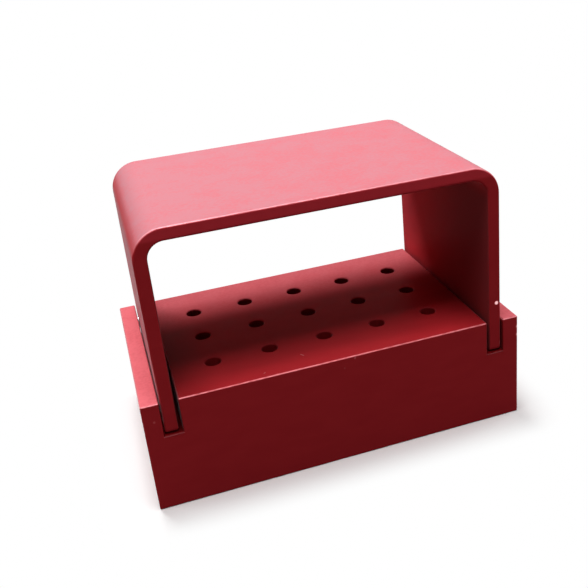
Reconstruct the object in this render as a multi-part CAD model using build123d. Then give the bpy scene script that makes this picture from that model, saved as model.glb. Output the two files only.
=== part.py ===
from build123d import *
import math
import os

# A bench block for dental burs, with a lid that swings back on two pins.
# Millimetres. X runs along the block, the front looks towards -Y and +Z is up.
# The origin lies on the bench, under the middle of the whole outline.

# Block, milled from one bar
block_length = 60.0
block_depth = 34.5
block_height = 18.0
block_edge_break = 0.15

# Blind bur holes, in a grid centred on the block
hole_columns = 5
hole_rows = 3
column_pitch = 9.0
row_pitch = 9.0
hole_diameter = 2.5
hole_floor = 4.0
hole_edge_break = 0.15
drill_point_angle = 118.0

# Cheek outside each slot, and the play of a leg inside its slot
cheek_thickness = 2.65
leg_outer_gap = 0.2
leg_inner_gap = 0.6
leg_floor_gap = 0.2

# Lid, bent from one strip of sheet
sheet_thickness = 2.0
outer_bend_radius = 4.5
lid_clear_height = 23.8
lid_front_setback = 0.4
lid_back_overhang = 0.9
leg_front_corner_radius = 0.6
sheet_edge_radius = 0.3

# Hinge pins, pressed into the block and loose in the legs
pin_diameter = 2.0
pin_running_clearance = 0.05
pin_back_inset = 2.2
pin_top_inset = 2.4
pin_seat_in_core = 3.0
pin_end_recess = 0.1
pin_end_chamfer = 0.2

# Places that follow from the sizes above
lid_depth = block_depth - lid_front_setback + lid_back_overhang
outline_depth = block_depth + max(lid_back_overhang, 0.0)
block_front = -outline_depth / 2
block_back = block_front + block_depth
lid_front = block_front + lid_front_setback
lid_back = lid_front + lid_depth

# The leg's back corner is round about the pin, so that it never meets the slot's floor.
leg_hinge_radius = pin_back_inset + lid_back_overhang
slot_depth = pin_top_inset + leg_hinge_radius + leg_floor_gap
slot_width = leg_outer_gap + sheet_thickness + leg_inner_gap
slot_floor = block_height - slot_depth
slot_outer_face = block_length / 2 - cheek_thickness
core_face = slot_outer_face - slot_width
leg_outer_face = slot_outer_face - leg_outer_gap
leg_foot = slot_floor + leg_floor_gap
lid_top = block_height + lid_clear_height + sheet_thickness

pin_y = block_back - pin_back_inset
pin_z = block_height - pin_top_inset
pin_inner_end = core_face - pin_seat_in_core
pin_outer_end = block_length / 2 - pin_end_recess

hole_depth = block_height - hole_floor
hole_grid_y = block_front + block_depth / 2


def along_y(profile, length, start):
    """Extrude a profile drawn in X and Z from start towards the back."""
    return extrude(Plane.XZ.offset(-start) * profile, amount=-length)


def block_profile():
    """Front view of the block: a rectangle with a slot near each end."""
    profile = Pos(0, block_height / 2) * Rectangle(block_length, block_height)
    slot_middle = (slot_outer_face + core_face) / 2
    for side in (-1, 1):
        slot = Rectangle(slot_width, 2 * slot_depth)
        profile -= Pos(side * slot_middle, block_height) * slot
    return profile


def is_slot_root(edge):
    """Tell the inner corners of the slots, which the cutter leaves sharp."""
    middle = edge.center()
    on_floor = abs(middle.Z - slot_floor) < 1e-6
    runs_to_back = edge.length > block_depth / 2
    return on_floor and runs_to_back


def bur_hole():
    """One drilled hole as a solid, with its mouth at the origin and a broken edge."""
    radius = hole_diameter / 2
    point_depth = radius / math.tan(math.radians(drill_point_angle / 2))
    outline = Polyline(
        (0, 1),
        (radius + hole_edge_break, 1),
        (radius + hole_edge_break, 0),
        (radius, -hole_edge_break),
        (radius, -hole_depth),
        (0, -hole_depth - point_depth),
        close=True,
    )
    return revolve(Plane.XZ * make_face(outline), Axis.Z)


def pin_bore(side):
    """The hole that holds one pin, from the end face through the slot into the core."""
    reach = block_length / 2 - pin_inner_end
    bore = Cylinder(pin_diameter / 2, reach + 1, rotation=(0, 90, 0))
    middle = pin_inner_end + (reach + 1) / 2
    return Pos(side * middle, pin_y, pin_z) * bore


def make_block():
    block = along_y(block_profile(), block_depth, block_front)
    edges = [edge for edge in block.edges() if not is_slot_root(edge)]
    block = chamfer(edges, block_edge_break)
    grid = GridLocations(column_pitch, row_pitch, hole_columns, hole_rows)
    for place in grid:
        block -= Pos(0, hole_grid_y, block_height) * place * bur_hole()
    for side in (-1, 1):
        block -= pin_bore(side)
    return block


def lid_profile():
    """Front view of the lid: a bridge with two legs, bent at an even thickness."""
    height = lid_top - leg_foot
    outer = Rectangle(2 * leg_outer_face, 2 * height)
    outer = fillet(outer.vertices(), outer_bend_radius)
    inner = Rectangle(2 * (leg_outer_face - sheet_thickness), 2 * (height - sheet_thickness))
    inner = fillet(inner.vertices(), outer_bend_radius - sheet_thickness)
    upper_half = Pos(0, height / 2) * Rectangle(2 * block_length, height)
    return Pos(0, leg_foot) * ((outer - inner) & upper_half)


def leg_side_profile():
    """Side view of the lid, in Y and Z, with the rounded lower corners of the legs."""
    height = lid_top - leg_foot
    profile = Pos((lid_front + lid_back) / 2, leg_foot + height / 2) * Rectangle(lid_depth, height)
    lower = profile.vertices().sort_by(Axis.Y)[:2]
    front_corner, back_corner = sorted(lower, key=lambda vertex: vertex.X)
    profile = fillet([front_corner], leg_front_corner_radius)
    back_corner = profile.vertices().sort_by_distance(Vector(lid_back, leg_foot))[0]
    return fillet([back_corner], leg_hinge_radius)


def make_lid():
    bridge = along_y(lid_profile(), lid_depth, lid_front)
    side = extrude(Plane.YZ * leg_side_profile(), amount=block_length, both=True)
    lid = bridge & side
    lid = fillet(lid.edges(), sheet_edge_radius)
    hole_radius = pin_diameter / 2 + pin_running_clearance
    hinge_line = Cylinder(hole_radius, 2 * block_length, rotation=(0, 90, 0))
    return lid - Pos(0, pin_y, pin_z) * hinge_line


def make_pin(side):
    length = pin_outer_end - pin_inner_end
    pin = Cylinder(pin_diameter / 2, length, rotation=(0, 90, 0))
    pin = chamfer(pin.edges().filter_by(GeomType.CIRCLE), pin_end_chamfer)
    return Pos(side * (pin_inner_end + length / 2), pin_y, pin_z) * pin


nodes = {
    "block": make_block(),
    "lid": make_lid(),
    "left_hinge_pin": make_pin(-1),
    "right_hinge_pin": make_pin(1),
}

os.makedirs("parts", exist_ok=True)
for name, piece in nodes.items():
    export_step(piece, f"parts/{name}.step")
    box = piece.bounding_box()
    print(name, "size", [round(value, 3) for value in box.size])
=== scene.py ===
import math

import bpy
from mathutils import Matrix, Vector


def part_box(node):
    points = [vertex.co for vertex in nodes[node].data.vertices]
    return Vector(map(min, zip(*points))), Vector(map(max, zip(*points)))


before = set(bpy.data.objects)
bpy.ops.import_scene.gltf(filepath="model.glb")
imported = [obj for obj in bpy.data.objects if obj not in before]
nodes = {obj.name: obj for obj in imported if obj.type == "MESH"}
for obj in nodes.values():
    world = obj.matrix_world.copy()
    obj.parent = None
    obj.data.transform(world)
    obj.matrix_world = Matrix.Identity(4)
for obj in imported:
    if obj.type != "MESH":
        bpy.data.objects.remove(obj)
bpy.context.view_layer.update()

# %% [markdown]
# A bench block for dental burs is two pieces of red anodised aluminium. A thick block is
# drilled with a grid of blind holes, and a thin lid is bent over it like a bridge. Two steel
# pins let the lid swing back. The frame above brings in these solids at their real size, so
# this file is about finish and light: satin metal, worn edges, small knocks, and a bright
# sweep behind the object. Everything is in metres, so sizes below are millimetres times MM.

MM = 0.001
scene = bpy.context.scene
for name in sorted(nodes):
    low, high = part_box(name)
    size = [round((high[i] - low[i]) / MM, 1) for i in range(3)]
    print("piece", name, "measures", size, "mm")

# %% [markdown]
# The camera stands to the front left of the block, a hand's width above the bench, and
# looks down at about twenty-three degrees. It could be set by eye, but a camera that is
# written as a place, an aim and a lens can be read and repeated. The lens is close to a
# normal one. A small shift slides the frame over the view without turning the camera.

# %% Aim
def aim_at(place, target, roll=0.0):
    """Matrix of an object at place whose -Z axis looks at target."""
    turn = (target - place).to_track_quat("-Z", "Y").to_matrix().to_4x4()
    return Matrix.Translation(place) @ turn @ Matrix.Rotation(roll, 4, "Z")


ahead = aim_at(Vector(), Vector((0, 1, 0))) @ Vector((0, 0, -1))
print("an object aimed along +Y looks towards", [round(part, 3) for part in ahead])

# %% Camera
CAMERA_PLACE = Vector((-29.5, -120.6, 81.0)) * MM
CAMERA_AIM = Vector((4.9, -6.7, 31.2)) * MM
CAMERA_ROLL = math.radians(-5.0)
CAMERA_LENS = 50.1
CAMERA_SHIFT = (-0.08, -0.08)
NEAREST_SEEN = 5.0 * MM

camera_data = bpy.data.cameras.new("photo_camera")
camera_data.lens = CAMERA_LENS
camera_data.sensor_width = 36.0
camera_data.shift_x, camera_data.shift_y = CAMERA_SHIFT
camera_data.clip_start = NEAREST_SEEN
camera = bpy.data.objects.new("photo_camera", camera_data)
scene.collection.objects.link(camera)
camera.matrix_world = aim_at(CAMERA_PLACE, CAMERA_AIM, CAMERA_ROLL)
scene.camera = camera
print("camera is", round((CAMERA_AIM - CAMERA_PLACE).length / MM), "mm from its aim")

# %% [markdown]
# Satin metal shows its form through what it reflects, so the light is planned before the
# finish. One soft lamp high behind the block and a wider one nearly overhead light the faces
# that look up and leave the front in shade, which gives the pale top and the deep red front.
# A weaker lamp at each end lights the bends of the lid, and a very weak one in front opens
# the shade a little. Area lamps are used because they are soft, like a window or a softbox,
# while a sun or a point lamp would draw one hard shadow. The view transform is Standard, so
# a colour comes out about as it is written.

# %% A softbox
LAMP_TARGET = Vector((0, 0, 22)) * MM
print("lamps look at a point", round(LAMP_TARGET.z / MM), "mm above the bench")


def add_lamp(name, azimuth, elevation, distance, width, height, power):
    """Softbox that looks at the middle of the part. Azimuth 0 is behind it, along +Y."""
    around = math.radians(azimuth)
    up = math.radians(elevation)
    direction = Vector((math.sin(around) * math.cos(up), math.cos(around) * math.cos(up),
                        math.sin(up)))
    data = bpy.data.lights.new(name, "AREA")
    data.shape = "RECTANGLE"
    data.size = width
    data.size_y = height
    data.energy = power
    lamp = bpy.data.objects.new(name, data)
    lamp.matrix_world = aim_at(LAMP_TARGET + direction * distance, LAMP_TARGET)
    scene.collection.objects.link(lamp)
    print("lamp", name, "radiance", round(power / (math.pi * width * height), 2))
    return lamp


# %% Five lamps
scene.view_settings.view_transform = "Standard"
add_lamp("back_softbox", azimuth=-16, elevation=67, distance=0.50, width=0.17, height=0.17,
         power=1.75)
add_lamp("top_softbox", azimuth=178, elevation=76, distance=0.50, width=0.30, height=0.19,
         power=1.15)
add_lamp("left_softbox", azimuth=-88, elevation=52, distance=0.50, width=0.20, height=0.20,
         power=0.44)
add_lamp("right_softbox", azimuth=88, elevation=52, distance=0.50, width=0.20, height=0.20,
         power=0.48)
add_lamp("front_fill", azimuth=-165, elevation=25, distance=0.80, width=0.30, height=0.30,
         power=0.17)

# %% [markdown]
# Materials and the world are built from nodes, and many sockets take either a fixed number
# or a link from another node. One small helper hides that difference, so that the cells
# below read like sums. It could be left out, but then each sum would take five lines.

# %% Joining nodes
def feed(tree, socket, value):
    """Give a socket a fixed value, or a link when the value is another socket."""
    if isinstance(value, bpy.types.NodeSocket):
        tree.links.new(value, socket)
    else:
        socket.default_value = value


def value_node(tree, operation, first, second=0.0):
    """Math node whose inputs are numbers or sockets; returns its output."""
    node = tree.nodes.new("ShaderNodeMath")
    node.operation = operation
    feed(tree, node.inputs[0], first)
    feed(tree, node.inputs[1], second)
    return node.outputs[0]


def times(tree, first, *others):
    """Product of masks or numbers."""
    product = first
    for other in others:
        product = value_node(tree, "MULTIPLY", product, other)
    return product


print("joined helpers:", feed.__name__, value_node.__name__, times.__name__)

# %% [markdown]
# The world is the room. Rays that see the room directly or in a reflection find plain
# white, which makes the white picture background and keeps it in the metal's reflections.
# Rays that only gather light find a dim room, so the background doesn't add light to the
# object. The Light Path node tells these rays apart. A white wall behind the object would
# be simpler, but it would wash out the shaded front.

# %% Which rays show the background
def sees_background(tree):
    """A value of 1 for rays that show the background, and 0 for rays that gather light."""
    path = tree.nodes.new("ShaderNodeLightPath")
    direct = value_node(tree, "MAXIMUM", path.outputs["Is Camera Ray"],
                        path.outputs["Is Glossy Ray"])
    return value_node(tree, "MAXIMUM", direct, path.outputs["Is Transmission Ray"])


print("rays that show white: camera, glossy, transmission")

# %% World
ROOM_LIGHT = 0.012
WHITE = (1.0, 1.0, 1.0, 1.0)


def add_background(tree, strength):
    background = tree.nodes.new("ShaderNodeBackground")
    background.inputs["Color"].default_value = WHITE
    background.inputs["Strength"].default_value = strength
    return background.outputs[0]


world = bpy.data.worlds.new("white_room")
world.use_nodes = True
scene.world = world
room = world.node_tree
room.nodes.clear()
choose = room.nodes.new("ShaderNodeMixShader")
feed(room, choose.inputs["Fac"], sees_background(room))
feed(room, choose.inputs[1], add_background(room, ROOM_LIGHT))
feed(room, choose.inputs[2], add_background(room, 1.0))
room_out = room.nodes.new("ShaderNodeOutputWorld")
feed(room, room_out.inputs["Surface"], choose.outputs[0])
print("room light", ROOM_LIGHT)

# %% [markdown]
# The floor is a round sheet of white card. Close to the block it is a matt surface, which
# takes the soft shadow of the base. A few millimetres further out it fades into the same
# white as the room, so no edge or horizon shows. A shadow catcher could do this too, but it
# needs a compositor. Here the material itself works out how far a point lies outside the
# block's rectangle and fades by that. To the rays that gather light the card is darker,
# because a white card this close would throw light up into the shaded front.

# %% Vectors, ramps and colours as nodes
def vector_node(tree, operation, first, second=None):
    """Vector Math node; returns a vector, or a number for a product or length."""
    node = tree.nodes.new("ShaderNodeVectorMath")
    node.operation = operation
    feed(tree, node.inputs[0], first)
    if second is not None:
        feed(tree, node.inputs[1], second)
    gives_number = operation in ("DOT_PRODUCT", "LENGTH")
    return node.outputs["Value"] if gives_number else node.outputs["Vector"]


def ramp(tree, value, low, high, to_low=0.0, to_high=1.0):
    """Map a value smoothly from one range to another."""
    node = tree.nodes.new("ShaderNodeMapRange")
    node.interpolation_type = "SMOOTHSTEP"
    for label, source in (("Value", value), ("From Min", low), ("From Max", high),
                          ("To Min", to_low), ("To Max", to_high)):
        feed(tree, node.inputs[label], source)
    return node.outputs["Result"]


def mix_colour(tree, factor, first, second):
    """Blend two colours, each a triple or a socket."""
    node = tree.nodes.new("ShaderNodeMix")
    node.data_type = "RGBA"
    feed(tree, node.inputs["Factor"], factor)
    for label, colour in (("A", first), ("B", second)):
        opaque = (*colour, 1.0) if isinstance(colour, tuple) else colour
        feed(tree, node.inputs[label], opaque)
    return node.outputs["Result"]


print("node helpers:", vector_node.__name__, ramp.__name__, mix_colour.__name__)

# %% Distance outside the block's footprint
def beyond_footprint(tree):
    """How far a point of the floor lies outside the rectangle that the block stands on."""
    low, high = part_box("block")
    middle = Vector((0, (low[1] + high[1]) / 2, 0))
    half = Vector(((high[0] - low[0]) / 2, (high[1] - low[1]) / 2, 1))
    place = tree.nodes.new("ShaderNodeTexCoord")
    offset = vector_node(tree, "SUBTRACT", place.outputs["Object"], middle)
    outside = vector_node(tree, "SUBTRACT", vector_node(tree, "ABSOLUTE", offset), half)
    return vector_node(tree, "LENGTH", vector_node(tree, "MAXIMUM", outside, Vector()))


# %% Floor
FLOOR_RADIUS = 0.60
FLOOR_SIDES = 96
SHADOW_WIDTH = 8.0 * MM
CARD_SEEN = (0.97, 0.97, 0.97)
CARD_BOUNCE = (0.14, 0.14, 0.14)


def make_floor_material():
    material = bpy.data.materials.new("white_card")
    material.use_nodes = True
    tree = material.node_tree
    tree.nodes.clear()
    seen = sees_background(tree)
    card = tree.nodes.new("ShaderNodeBsdfDiffuse")
    feed(tree, card.inputs["Color"], mix_colour(tree, seen, CARD_BOUNCE, CARD_SEEN))
    white = tree.nodes.new("ShaderNodeEmission")
    fade = ramp(tree, beyond_footprint(tree), 0.0, SHADOW_WIDTH)
    blend = tree.nodes.new("ShaderNodeMixShader")
    feed(tree, blend.inputs["Fac"], times(tree, fade, seen))
    feed(tree, blend.inputs[1], card.outputs[0])
    feed(tree, blend.inputs[2], white.outputs[0])
    out = tree.nodes.new("ShaderNodeOutputMaterial")
    feed(tree, out.inputs["Surface"], blend.outputs[0])
    return material


bpy.ops.mesh.primitive_circle_add(vertices=FLOOR_SIDES, radius=FLOOR_RADIUS, fill_type="NGON")
floor = bpy.context.object
floor.name = "white_floor"
floor.data.materials.append(make_floor_material())
print("floor radius", FLOOR_RADIUS, "m, shadow fades over", SHADOW_WIDTH / MM, "mm")

# %% [markdown]
# Anodising grows a thin clear oxide on the aluminium and fills it with dye. Its looks come
# from a few small effects: fine grain, edges that have lost their dye, knocks and scratches,
# faded upper faces, and cloudy mottling. They could be written out in every material, but
# each is used more than once, with other values. So each is a node group with named inputs
# and outputs, like a tool that is made once. A group gives only masks and heights. The
# shader itself stays in the material.

# %% Node groups
def new_group(name, inputs, outputs):
    """Node group with named sockets; returns the tree and its two end nodes."""
    tree = bpy.data.node_groups.new(name, "ShaderNodeTree")
    for label, kind, value in inputs:
        socket = tree.interface.new_socket(label, in_out="INPUT", socket_type=kind)
        socket.default_value = value
    for label, kind in outputs:
        tree.interface.new_socket(label, in_out="OUTPUT", socket_type=kind)
    start = tree.nodes.new("NodeGroupInput")
    end = tree.nodes.new("NodeGroupOutput")
    return tree, start, end


def use_group(tree, group, **values):
    """Place a node group in a material, with its own values."""
    node = tree.nodes.new("ShaderNodeGroup")
    node.node_tree = group
    for label, value in values.items():
        node.inputs[label].default_value = value
    return node


print("node groups so far:", len(bpy.data.node_groups))

# %% [markdown]
# Before it is anodised, the aluminium is brushed to a satin. Its fine scratches run along
# the piece. A picture of scratches would stretch over the bends, so the grain is a noise in
# the piece's own space, and dividing X by Stretch draws it out along the block. A second
# noise, twenty times coarser, gives the patches where the dye took a little more or less.

# %% Fine grain
COARSER = 0.05
NOISE_LOW = 0.30
NOISE_HIGH = 0.70


def noise(tree, coordinate, scale, detail):
    """Noise texture on a coordinate; scale is a number or a socket."""
    node = tree.nodes.new("ShaderNodeTexNoise")
    feed(tree, node.inputs["Vector"], coordinate)
    feed(tree, node.inputs["Scale"], scale)
    node.inputs["Detail"].default_value = detail
    return node.outputs["Fac"]


def make_grain_group():
    tree, start, end = new_group(
        "fine_grain",
        [("Scale", "NodeSocketFloat", 9000.0), ("Stretch", "NodeSocketFloat", 1.0)],
        [("Height", "NodeSocketFloat"), ("Patches", "NodeSocketFloat")],
    )
    place = tree.nodes.new("ShaderNodeTexCoord")
    longer = tree.nodes.new("ShaderNodeCombineXYZ")
    feed(tree, longer.inputs["X"], value_node(tree, "DIVIDE", 1.0, start.outputs["Stretch"]))
    longer.inputs["Y"].default_value = 1.0
    longer.inputs["Z"].default_value = 1.0
    drawn = vector_node(tree, "MULTIPLY", place.outputs["Object"], longer.outputs[0])
    fine = noise(tree, drawn, start.outputs["Scale"], detail=3.0)
    coarse = noise(tree, drawn, times(tree, start.outputs["Scale"], COARSER), detail=4.0)
    feed(tree, end.inputs["Height"], fine)
    feed(tree, end.inputs["Patches"], ramp(tree, coarse, NOISE_LOW, NOISE_HIGH))
    return tree


grain_group = make_grain_group()
print("group", grain_group.name)

# %% [markdown]
# An edge loses its colour first, because hands and other tools touch it there, and its pale
# line also stands for the lamps' glint, so it is partly wear and partly a painted highlight.
# To find the edges, the Bevel node gives the direction that the surface would have if its
# edges were softly rounded. On a flat face of a square block that direction lies along one
# axis, and near an edge it slants, so the largest of its three parts falls below one. Only
# edges that look up are kept, because the lamps above glint on them. The bends of the lid
# slant too, but only across X and Z, and the Crosswise socket leaves them out. Edges could be
# painted by hand instead, but that would have to be done again after each change of size.

# %% Direction of a softened edge
EDGE_REACH = 0.10 * MM
EDGE_SAMPLES = 6


def split(tree, vector):
    """The three parts of a vector."""
    parts = tree.nodes.new("ShaderNodeSeparateXYZ")
    feed(tree, parts.inputs[0], vector)
    return parts.outputs["X"], parts.outputs["Y"], parts.outputs["Z"]


def softened_direction(tree):
    """Direction of the surface with its edges rounded, in the piece's own space."""
    rounded = tree.nodes.new("ShaderNodeBevel")
    rounded.samples = EDGE_SAMPLES
    rounded.inputs["Radius"].default_value = EDGE_REACH
    local = tree.nodes.new("ShaderNodeVectorTransform")
    local.vector_type = "NORMAL"
    local.convert_from = "WORLD"
    local.convert_to = "OBJECT"
    feed(tree, local.inputs[0], rounded.outputs["Normal"])
    return local.outputs[0]


print("edges are found within", round(EDGE_REACH / MM, 2), "mm")

# %% Worn edges and painted glints
FLAT_PART = 0.98
SLANTED_PART = 0.84
UPWARD_BEGINS, UPWARD_FULL = 0.15, 0.55
FRONT_EDGE_BEGINS, FRONT_EDGE_FULL = 0.05, 0.30
BREAKS_BEGIN, BREAKS_END = 0.30, 0.60
LEAST_WORN = 0.60


def all_but(tree, mask):
    return value_node(tree, "SUBTRACT", 1.0, mask)


def make_edge_group():
    tree, start, end = new_group(
        "worn_and_glinting_edge",
        [("Breaks", "NodeSocketFloat", 900.0), ("Amount", "NodeSocketFloat", 0.6),
         ("Crosswise", "NodeSocketFloat", 0.0)],
        [("Mask", "NodeSocketFloat")],
    )
    direction = softened_direction(tree)
    # Keeping only edges that look up puts the painted highlight where the lamps glint.
    upward = ramp(tree, split(tree, direction)[2], UPWARD_BEGINS, UPWARD_FULL)
    x, y, z = split(tree, vector_node(tree, "ABSOLUTE", direction))
    largest = value_node(tree, "MAXIMUM", value_node(tree, "MAXIMUM", x, y), z)
    slanted = ramp(tree, largest, FLAT_PART, SLANTED_PART)
    along_bend = all_but(tree, ramp(tree, y, FRONT_EDGE_BEGINS, FRONT_EDGE_FULL))
    kept = all_but(tree, times(tree, along_bend, start.outputs["Crosswise"]))
    place = tree.nodes.new("ShaderNodeTexCoord")
    uneven = noise(tree, place.outputs["Object"], start.outputs["Breaks"], detail=3.0)
    broken = ramp(tree, uneven, BREAKS_BEGIN, BREAKS_END, LEAST_WORN, 1.0)
    worn_or_glint = times(tree, slanted, kept, broken, upward, start.outputs["Amount"])
    feed(tree, end.inputs["Mask"], worn_or_glint)
    return tree


edge_group = make_edge_group()
print("group", edge_group.name)

# %% [markdown]
# A knock or a scratch is a short line that something hard has left. It could be cut into the
# mesh, but it is shallower than a hair, so colour and a slight dent are enough. One group
# serves both, and on the lid it also draws one painted highlight. It measures how far a point
# of the surface is from the line between Start and End, and a knock is a line whose two ends
# nearly meet.

# %% Knocks, scratches and a painted highlight
MARK_RIM = 0.55
MARK_CORE = 0.30


def scaled(tree, vector, factor):
    node = tree.nodes.new("ShaderNodeVectorMath")
    node.operation = "SCALE"
    feed(tree, node.inputs[0], vector)
    feed(tree, node.inputs["Scale"], factor)
    return node.outputs["Vector"]


def make_mark_group():
    tree, start, end = new_group(
        "knock_scratch_or_glint",
        [("Start", "NodeSocketVector", (0, 0, 0)), ("End", "NodeSocketVector", (0, 0, 0)),
         ("Width", "NodeSocketFloat", 0.0002)],
        [("Mask", "NodeSocketFloat")],
    )
    place = tree.nodes.new("ShaderNodeTexCoord")
    from_start = vector_node(tree, "SUBTRACT", place.outputs["Object"], start.outputs["Start"])
    line = vector_node(tree, "SUBTRACT", start.outputs["End"], start.outputs["Start"])
    along = value_node(tree, "DIVIDE", vector_node(tree, "DOT_PRODUCT", from_start, line),
                       vector_node(tree, "DOT_PRODUCT", line, line))
    along = value_node(tree, "MINIMUM", value_node(tree, "MAXIMUM", along, 0.0), 1.0)
    off_line = vector_node(tree, "SUBTRACT", from_start, scaled(tree, line, along))
    distance = value_node(tree, "DIVIDE", vector_node(tree, "LENGTH", off_line),
                          start.outputs["Width"])
    feed(tree, end.inputs["Mask"], ramp(tree, distance, MARK_RIM, MARK_CORE))
    return tree


mark_group = make_mark_group()
print("group", mark_group.name)

# %% [markdown]
# Faces that look up are painted paler, as painted light from the lamps above, so the lid's top
# is a pale pink while its legs stay deep red. The mask compares the surface's direction with
# straight up. Both are taken in the piece's own space, so the pale side travels with the lid
# when it swings. A painted mask would need the piece unwrapped first.

# %% Painted light on the upper side
def make_lit_side_group():
    tree, start, end = new_group(
        "painted_light_side",
        [("Begins", "NodeSocketFloat", 0.3), ("Full", "NodeSocketFloat", 0.95)],
        [("Mask", "NodeSocketFloat")],
    )
    place = tree.nodes.new("ShaderNodeTexCoord")
    height = split(tree, place.outputs["Normal"])[2]
    feed(tree, end.inputs["Mask"],
         ramp(tree, height, start.outputs["Begins"], start.outputs["Full"]))
    return tree


lit_side_group = make_lit_side_group()
print("group", lit_side_group.name)

# %% [markdown]
# No pale surface is even. It has cloudy patches of a few millimetres, and in them are finer
# specks. One noise would look like clouds alone, so the mottle group mixes a coarse and a fine
# one. It gives a value that swings a little about its mean, and a mask of painted light is
# multiplied by it.

# %% Mottling
CLOUD_SCALE = 260.0
SPECK_SCALE = 1900.0
MEAN_MOTTLE = 0.96


def make_mottle_group():
    tree, start, end = new_group(
        "mottle",
        [("Amount", "NodeSocketFloat", 0.1)],
        [("Mask", "NodeSocketFloat")],
    )
    place = tree.nodes.new("ShaderNodeTexCoord").outputs["Object"]
    cloudy = ramp(tree, noise(tree, place, CLOUD_SCALE, detail=4.0), NOISE_LOW, NOISE_HIGH)
    specks = ramp(tree, noise(tree, place, SPECK_SCALE, detail=2.0), NOISE_LOW, NOISE_HIGH)
    uneven = times(tree, value_node(tree, "ADD", cloudy, specks), 0.5)
    swing = times(tree, value_node(tree, "SUBTRACT", uneven, 0.5), start.outputs["Amount"])
    feed(tree, end.inputs["Mask"], value_node(tree, "SUBTRACT", MEAN_MOTTLE, swing))
    return tree


mottle_group = make_mottle_group()
print("group", mottle_group.name)

# %% [markdown]
# Each colour is written as linear values of red, green and blue. They could be picked on a
# colour wheel, but written numbers can be compared with each other. The dye is deep, so green
# and blue are low. The pinks are painted light where the lamps fall strongly, the dull and the
# near-black reds are painted shade, and the pale edge colour is partly wear and partly a
# painted highlight.

# %% The reds
DYE_RED = (0.64, 0.031, 0.040)
DYE_DEEP = (0.61, 0.028, 0.037)
# A brighter red for the bridge's sheet; at the back of the legs' inner faces it is painted
# light.
BRIDGE_AND_LIT_RED = (0.84, 0.050, 0.070)
# Painted shade on the inner faces of the lid's legs.
PAINTED_SHADE_RED = (0.36, 0.040, 0.045)
# Painted light: the pale pink that stands for the lamps' light on the lid's top.
PAINTED_LIGHT_TOP_PINK = (0.612, 0.226, 0.262)
# Painted light: the pale pink of the block's cheeks and back edge, and of a strip on the lid's
# legs.
PAINTED_LIGHT_PINK = (0.81, 0.175, 0.203)
# Painted shade: nearly black, in the holes, the slots and the corners by the legs.
PAINTED_SHADE_DARK = (0.20, 0.005, 0.007)
# Partly wear and partly painted highlight: the pale pink of edges that look up.
WORN_AND_GLINT_PINK = (0.90, 0.38, 0.42)
# The bare metal of knocks, and on the lid the colour of one painted highlight.
KNOCK_AND_GLINT_PALE = (0.95, 0.58, 0.60)
print("the dye's red is", round(DYE_RED[0] / DYE_RED[1]), "times its green")

# %% [markdown]
# Where a piece is pale or dark follows from its shape, so the masks are written in the
# piece's own coordinates. That keeps each place on the piece when the lid swings, and it
# needs no unwrapping. The sizes are those of the solids, measured where the frame can tell.

# %% Places on the block and the lid
block_low, block_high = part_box("block")
BLOCK_TOP = block_high[2]
BLOCK_BACK = block_high[1]
BLOCK_MIDDLE = (block_low[1] + block_high[1]) / 2
SLOT_OUTER_FACE = 27.35 * MM
SLOT_INNER_FACE = 24.55 * MM
SLOT_FLOOR = 12.3 * MM
LEG_OUTER_FACE = 27.15 * MM
LEG_INNER_FACE = 25.15 * MM
LID_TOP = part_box("lid")[1][2]
HOLE_AREA_X = 21.0 * MM
HOLE_AREA_Y = 12.0 * MM


def own_place(tree):
    """The three coordinates of a surface point in its piece's own space."""
    return split(tree, tree.nodes.new("ShaderNodeTexCoord").outputs["Object"])


def from_middle(tree, x):
    return value_node(tree, "ABSOLUTE", x)


print("block top", round(BLOCK_TOP / MM, 1), "mm, lid top", round(LID_TOP / MM, 1), "mm")

# %% [markdown]
# Down in the holes and in the slots, shade is painted on, so they look almost black. Their
# faces could be given a material of their own, but then the mouths would have a hard border.
# So the holes are found as an area seen from above and the slots as the strips between their
# walls, and both darken from just below the top. The holes of the front row get less painted
# shade, as light from the front reaches them.

# %% Holes and slots
SEAM = 0.1 * MM
HOLE_MOUTH_TOP, HOLE_MOUTH_END = 0.02 * MM, 0.25 * MM
SLOT_MOUTH_TOP, SLOT_MOUTH_END = 0.1 * MM, 0.6 * MM
FRONT_ROW, BACK_ROWS = -12 * MM, 5 * MM
# Painted shade in the front row of holes is weaker, as light from the front reaches them.
FRONT_ROW_SHADE = 0.30


def hole_area(tree):
    """A value of 1 over the part of the block that the holes are in, seen from above."""
    x, y, z = own_place(tree)
    off_centre = from_middle(tree, value_node(tree, "SUBTRACT", y, BLOCK_MIDDLE))
    in_x = ramp(tree, from_middle(tree, x), HOLE_AREA_X + SEAM, HOLE_AREA_X)
    return times(tree, in_x, ramp(tree, off_centre, HOLE_AREA_Y + SEAM, HOLE_AREA_Y))


def slot_area(tree):
    """A value of 1 between the two walls of each slot."""
    x, y, z = own_place(tree)
    outside = from_middle(tree, x)
    past_core = ramp(tree, outside, SLOT_INNER_FACE - SEAM, SLOT_INNER_FACE - SEAM / 2)
    before_cheek = ramp(tree, outside, SLOT_OUTER_FACE + SEAM, SLOT_OUTER_FACE + SEAM / 2)
    return times(tree, past_core, before_cheek)


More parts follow.
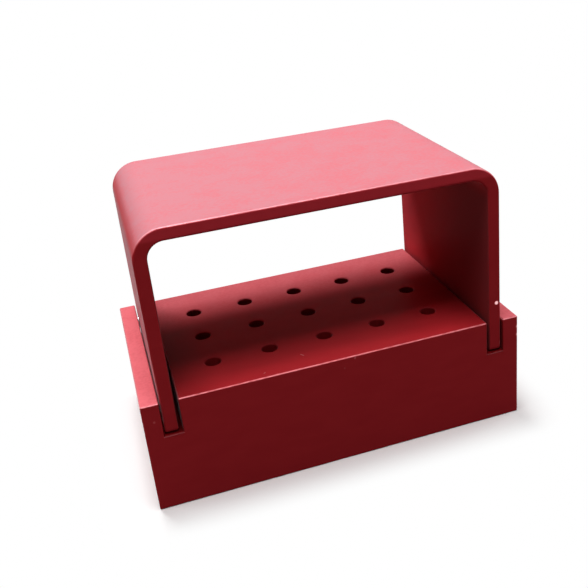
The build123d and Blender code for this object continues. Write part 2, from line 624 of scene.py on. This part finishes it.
def painted_shade_in_hollows(tree):
    """A value of 1 down in the holes and the slots, where shade is painted."""
    x, y, z = own_place(tree)
    deep = ramp(tree, z, BLOCK_TOP - HOLE_MOUTH_TOP, BLOCK_TOP - HOLE_MOUTH_END)
    above_base = ramp(tree, z, 0.5 * MM, 1.0 * MM)
    further_back = ramp(tree, y, FRONT_ROW, BACK_ROWS, FRONT_ROW_SHADE, 1.0)
    in_hole = times(tree, hole_area(tree), deep, above_base, further_back)
    below_top = ramp(tree, z, BLOCK_TOP - SLOT_MOUTH_TOP, BLOCK_TOP - SLOT_MOUTH_END)
    above_floor = ramp(tree, z, SLOT_FLOOR - 0.3 * MM, SLOT_FLOOR - 0.1 * MM)
    in_slot = times(tree, slot_area(tree), below_top, above_floor)
    return value_node(tree, "MAXIMUM", in_hole, in_slot)


print("slot floor", round(SLOT_FLOOR / MM, 1), "mm above the bench")

# %% [markdown]
# The lid's colour differs from place to place, and much of it is painted light and shade. The
# inner faces of the legs get painted shade under the bridge, which gives way to painted light
# towards the back, where the lamp behind reaches in. The edge of the bridge is a livelier red.
# The faces of the top that look up are painted pale as painted light, most at the left. Low on
# their outer faces the legs get a strip of painted light just above the cheeks. A material for
# each face would leave hard borders, so each place is one blend of two colours, and the blends
# are laid one over another.

# %% Painted shade and light on the inner faces of the legs
UNDER_BRIDGE, UNDER_BEND = 2.2 * MM, 6 * MM
SHADED_FRONT, LIT_BACK = -12 * MM, 14 * MM


# Painted shade: the inner faces under the bridge are darkened at the front and painted lighter
# towards the back.
def painted_inner_shade(tree, tint):
    x, y, z = own_place(tree)
    inner_face = ramp(tree, from_middle(tree, x), LEG_INNER_FACE + 1.5 * SEAM,
                      LEG_INNER_FACE + SEAM / 2)
    below_bend = ramp(tree, z, LID_TOP - UNDER_BRIDGE, LID_TOP - UNDER_BEND)
    front_to_back = ramp(tree, y, SHADED_FRONT, LIT_BACK)
    inner_shade_and_light = mix_colour(tree, front_to_back, PAINTED_SHADE_RED, BRIDGE_AND_LIT_RED)
    return mix_colour(tree, times(tree, inner_face, below_bend), tint, inner_shade_and_light)


print("inner faces lie", round(LEG_INNER_FACE / MM, 2), "mm from the middle")

# %% Colour and painted light on the bridge of the lid
LID_LIGHT_FULL = 0.82
RIGHT_END_LIGHT = 0.91
BRIDGE_END = 24 * MM
MOTTLE_AMOUNT = 0.30


# Painted light: the faces of the bridge that look up are blended to a pale pink, less at the
# right end.
def painted_light_bridge(tree, tint):
    x, y, z = own_place(tree)
    high = ramp(tree, z, LID_TOP - 2.0 * MM, LID_TOP - 1.4 * MM)
    bridge_tint = mix_colour(tree, high, tint, BRIDGE_AND_LIT_RED)
    upward = use_group(tree, lit_side_group, Full=LID_LIGHT_FULL).outputs["Mask"]
    from_left = ramp(tree, x, -BRIDGE_END, BRIDGE_END, 1.0, RIGHT_END_LIGHT)
    mottle = use_group(tree, mottle_group, Amount=MOTTLE_AMOUNT).outputs["Mask"]
    return mix_colour(tree, times(tree, upward, from_left, mottle), bridge_tint, PAINTED_LIGHT_TOP_PINK)


# The printed number is how much less painted light the right end of the top gets.
print("the top fades", round(100 * (1 - RIGHT_END_LIGHT)), "percent less at the right")

# %% The lid's colour
# Painted light: a pale strip low on the outer faces of the legs, just above the cheeks.
CHEEK_STRIP_LIGHT = 0.6
STRIP_LIGHT_BEGINS, STRIP_LIGHT_FULL = 7 * MM, 1 * MM


def colour_lid(tree, tint):
    x, y, z = own_place(tree)
    on_side = ramp(tree, from_middle(tree, x), LEG_OUTER_FACE - 2 * SEAM,
                   LEG_OUTER_FACE - SEAM / 2)
    above_slot = ramp(tree, z, BLOCK_TOP + STRIP_LIGHT_BEGINS, BLOCK_TOP + STRIP_LIGHT_FULL)
    out_of_depth = ramp(tree, z, BLOCK_TOP - 3.8 * MM, BLOCK_TOP - 3.2 * MM)
    against_cheek = times(tree, on_side, above_slot, out_of_depth, CHEEK_STRIP_LIGHT)
    lid_tint = painted_light_bridge(tree, painted_inner_shade(tree, tint))
    # The strip of painted light is mixed over the rest.
    return mix_colour(tree, against_cheek, lid_tint, PAINTED_LIGHT_PINK)


print("blends on the lid: inner faces, bridge edge, top, strip against the cheek")

# %% [markdown]
# The block's top is painted pale as painted light on the narrow cheeks outside the lid and
# towards its back edge, where the lamps reach it. Near the legs of the lid its top is painted
# darker, as painted shade in the corners. As on the lid, these are blends and not borders. The
# painted shade of the holes and the slots comes last, over everything else.

# %% The block's colour
# Painted shade: the block's top darkens near the legs of the lid.
LEG_CORNER_DARKENING = 0.45
CORNER_BEGINS, CORNER_FULL = 17 * MM, 24 * MM
BACK_LIGHT = 0.85
BACK_LIGHT_BEGINS = -3 * MM


def colour_block(tree, tint):
    x, y, z = own_place(tree)
    upward = use_group(tree, lit_side_group).outputs["Mask"]
    outside = from_middle(tree, x)
    # Painted shade on the top near the legs of the lid.
    near_leg = ramp(tree, outside, CORNER_BEGINS, CORNER_FULL, 0.0, LEG_CORNER_DARKENING)
    tint = mix_colour(tree, times(tree, upward, near_leg), tint, PAINTED_SHADE_DARK)
    # Painted light on the tops of the cheeks and towards the back edge.
    cheek = ramp(tree, outside, SLOT_OUTER_FACE - SEAM, SLOT_OUTER_FACE)
    back = ramp(tree, y, BACK_LIGHT_BEGINS, BLOCK_BACK, 0.0, BACK_LIGHT)
    mottle = use_group(tree, mottle_group, Amount=MOTTLE_AMOUNT).outputs["Mask"]
    painted_light = times(tree, upward, value_node(tree, "MAXIMUM", cheek, back), mottle)
    tint = mix_colour(tree, painted_light, tint, PAINTED_LIGHT_PINK)
    return mix_colour(tree, painted_shade_in_hollows(tree), tint, PAINTED_SHADE_DARK)


# The printed number is how pale the painted light makes the back edge.
print("the block is rubbed up to", BACK_LIGHT, "at its back edge")

# %% [markdown]
# Wear and its painted glint use the worn edge group with other values on each piece. On the
# block they nearly stop round the holes and fade down the slots. On the lid they leave out the
# two bends, which slant without being edges.

# %% Wear and painted glints on each piece
LID_EDGE_WEAR_AND_GLINT = 0.45
BLOCK_EDGE_WEAR_AND_GLINT = 0.50
EDGES_SPARED_AT_HOLES = 0.88
EDGES_AT_SLOT_FLOOR = 0.20


def wear_and_glint_lid(tree):
    return use_group(tree, edge_group, Amount=LID_EDGE_WEAR_AND_GLINT, Crosswise=1.0).outputs["Mask"]


def wear_and_glint_block(tree):
    edges = use_group(tree, edge_group, Amount=BLOCK_EDGE_WEAR_AND_GLINT).outputs["Mask"]
    open_top = all_but(tree, times(tree, hole_area(tree), EDGES_SPARED_AT_HOLES))
    x, y, z = own_place(tree)
    near_top = ramp(tree, z, SLOT_FLOOR, BLOCK_TOP - 1.0 * MM, EDGES_AT_SLOT_FLOOR, 1.0)
    return times(tree, edges, open_top, near_top)


print("edge wear: lid", LID_EDGE_WEAR_AND_GLINT, "block", BLOCK_EDGE_WEAR_AND_GLINT)

# %% [markdown]
# The small knocks are placed one by one where the real block has them, as a noise would put
# them anywhere. A knock lays bare a facet that looks partly up. So its colour is pale, it is
# metallic, and its normal is turned towards the top, which lets it glint on a shaded face. The
# second mark of the lid, low on the outer edge of the right leg, is not a knock but a painted
# highlight drawn the same way.

# %% The marks of this block
# start, end and width in millimetres, then how pale the mark is
BLOCK_MARKS = [
    ((-5.1, -13.6, 18.0), (-4.8, -14.1, 18.0), 0.25, 0.22),
    ((-11.6, -16.5, 18.0), (-11.4, -16.3, 18.0), 0.22, 0.18),
    ((2.3, -17.7, 17.7), (2.25, -17.7, 17.5), 0.30, 0.14),
    ((0.5, -17.7, 16.3), (0.5, -17.7, 16.25), 0.30, 0.07),
    ((-28.4, -17.7, 15.1), (-28.4, -17.7, 15.15), 0.40, 0.09),
    ((29.9, -17.6, 16.1), (29.9, -17.6, 16.15), 0.50, 0.50),
    ((29.9, -17.6, 14.7), (29.9, -17.6, 14.6), 0.50, 0.50),
]
LID_MARKS_AND_GLINT = [
    ((26.45, -17.3, 21.0), (26.45, -17.3, 20.95), 0.66, 0.9),
    # Painted highlight, not a knock: a glint low on the right leg's outer edge.
    ((27.0, -17.2, 13.9), (27.0, -17.2, 13.4), 0.30, 0.10),
]
print("marks:", len(BLOCK_MARKS), "on the block,", len(LID_MARKS_AND_GLINT), "on the lid")

# %% Marks as a mask and as a facet
def all_marks(tree, marks):
    """One mask for a list of knocks and scratches; on the lid one of them is a painted
    highlight.
    """
    total = 0.0
    for start, end, width, strength in marks:
        mark = use_group(tree, mark_group, Start=Vector(start) * MM, End=Vector(end) * MM,
                         Width=width * MM)
        mask = times(tree, mark.outputs["Mask"], strength)
        total = value_node(tree, "MAXIMUM", total, mask)
    return total


def turned_up(tree, normal, mask):
    """The normal, tilted towards the top of the piece where the mask is 1."""
    top = tree.nodes.new("ShaderNodeVectorTransform")
    top.vector_type = "VECTOR"
    top.convert_from = "OBJECT"
    top.convert_to = "WORLD"
    top.inputs[0].default_value = (0, 0, 1)
    lift = scaled(tree, top.outputs[0], mask)
    return vector_node(tree, "NORMALIZE", vector_node(tree, "ADD", normal, lift))


print("palest mark", max(mark[3] for mark in BLOCK_MARKS + LID_MARKS_AND_GLINT))

# %% [markdown]
# A Principled shader has both layers of an anodised surface. Its base is the dyed metal, and
# its specular layer is the clear oxide. A fully metallic base with a coat is another way, but
# the satin scatters light so widely that a plain base looks nearer. The oxide is matt, so its
# reflection is weak, and a trace of sheen gives the soft bloom of satin. These values are the
# same all over, so they are set on the shader's sockets. Where an edge is worn or a knock
# lies, the bare metal shows, and there Metallic goes up. The pale edges that look up, and one
# mark on the lid, are also a painted highlight.

# %% The clear oxide
OXIDE_IOR = 1.08
SHEEN = 0.10
SHEEN_ROUGHNESS = 0.3
SHEEN_TINT = (1.0, 0.92, 1.0, 1.0)


def set_oxide(shader, gloss):
    shader.inputs["IOR"].default_value = OXIDE_IOR
    shader.inputs["Specular IOR Level"].default_value = gloss
    shader.inputs["Sheen Weight"].default_value = SHEEN
    shader.inputs["Sheen Roughness"].default_value = SHEEN_ROUGHNESS
    shader.inputs["Sheen Tint"].default_value = SHEEN_TINT


print("oxide reflects", round(((OXIDE_IOR - 1) / (OXIDE_IOR + 1)) ** 2, 4), "at the front")

# %% Anodised aluminium
GRAIN_SCALE = 9000.0
GRAIN_STRENGTH = 0.12
GRAIN_DEPTH = 0.02 * MM
SMOOTHER, ROUGHER = -0.01, 0.02


def grain_normal(tree, height):
    bump = tree.nodes.new("ShaderNodeBump")
    bump.inputs["Strength"].default_value = GRAIN_STRENGTH
    bump.inputs["Distance"].default_value = GRAIN_DEPTH
    feed(tree, bump.inputs["Height"], height)
    return bump.outputs["Normal"]


def make_anodised(name, roughness, stretch, gloss, colouring, wear_and_glint, marks):
    """Satin anodised finish with its own colours, painted light and shade, worn and glinting
    edges, and marks.
    """
    material = bpy.data.materials.new(name)
    material.use_nodes = True
    tree = material.node_tree
    shader = tree.nodes["Principled BSDF"]
    set_oxide(shader, gloss)
    grain = use_group(tree, grain_group, Scale=GRAIN_SCALE, Stretch=stretch)
    patches = grain.outputs["Patches"]
    bare_or_glint = wear_and_glint(tree)
    knock_or_glint = all_marks(tree, marks)
    # The colouring mixes painted light and shade into the dye.
    tinted = colouring(tree, mix_colour(tree, patches, DYE_DEEP, DYE_RED))
    colour = mix_colour(tree, knock_or_glint, mix_colour(tree, bare_or_glint, tinted, WORN_AND_GLINT_PINK), KNOCK_AND_GLINT_PALE)
    feed(tree, shader.inputs["Base Color"], colour)
    feed(tree, shader.inputs["Metallic"], value_node(tree, "MAXIMUM", bare_or_glint, knock_or_glint))
    feed(tree, shader.inputs["Roughness"],
         ramp(tree, patches, 0.0, 1.0, roughness + SMOOTHER, roughness + ROUGHER))
    height = value_node(tree, "SUBTRACT", grain.outputs["Height"], knock_or_glint)
    feed(tree, shader.inputs["Normal"], turned_up(tree, grain_normal(tree, height), knock_or_glint))
    return material


block_finish = make_anodised("red_anodised_block", roughness=0.40, stretch=3.0, gloss=0.40,
                             colouring=colour_block, wear_and_glint=wear_and_glint_block, marks=BLOCK_MARKS)
lid_finish = make_anodised("red_anodised_sheet", roughness=0.38, stretch=12.0, gloss=0.07,
                           colouring=colour_lid, wear_and_glint=wear_and_glint_lid, marks=LID_MARKS_AND_GLINT)
for finish in (block_finish, lid_finish):
    print("finish", finish.name, "has", len(finish.node_tree.nodes), "nodes")

# %% [markdown]
# The solids come from the frame without a finish of their own. Their meshes are left as they
# are, and each only gets its material. The same helper serves the pins further on.

# %% Dress the block and the lid
def dress(node, material):
    """Give a CAD piece one material."""
    mesh = nodes[node].data
    mesh.materials.clear()
    mesh.materials.append(material)
    print("finish", material.name, "on", node)


dress("block", block_finish)
dress("lid", lid_finish)

# %% [markdown]
# The hinge pins are ground stainless rods, and only their ends show, flush with the ends of
# the block. Bare steel has no dye and no oxide, so the base is a plain grey and Metallic is
# one. The grain group is placed once more, a little coarser, and makes the grey and the
# roughness uneven, as grinding does.

# %% Ground steel pins
STEEL_DARK = (0.50, 0.50, 0.51)
STEEL_LIGHT = (0.62, 0.62, 0.63)
PIN_GRAIN_SCALE = 6000.0
PIN_SMOOTH, PIN_ROUGH = 0.24, 0.36


def make_pin_steel():
    material = bpy.data.materials.new("ground_steel")
    material.use_nodes = True
    tree = material.node_tree
    shader = tree.nodes["Principled BSDF"]
    grain = use_group(tree, grain_group, Scale=PIN_GRAIN_SCALE)
    feed(tree, shader.inputs["Base Color"],
         mix_colour(tree, grain.outputs["Patches"], STEEL_DARK, STEEL_LIGHT))
    shader.inputs["Metallic"].default_value = 1.0
    feed(tree, shader.inputs["Roughness"],
         ramp(tree, grain.outputs["Height"], NOISE_LOW, NOISE_HIGH, PIN_SMOOTH, PIN_ROUGH))
    return material


pin_finish = make_pin_steel()
for pin in ("left_hinge_pin", "right_hinge_pin"):
    dress(pin, pin_finish)
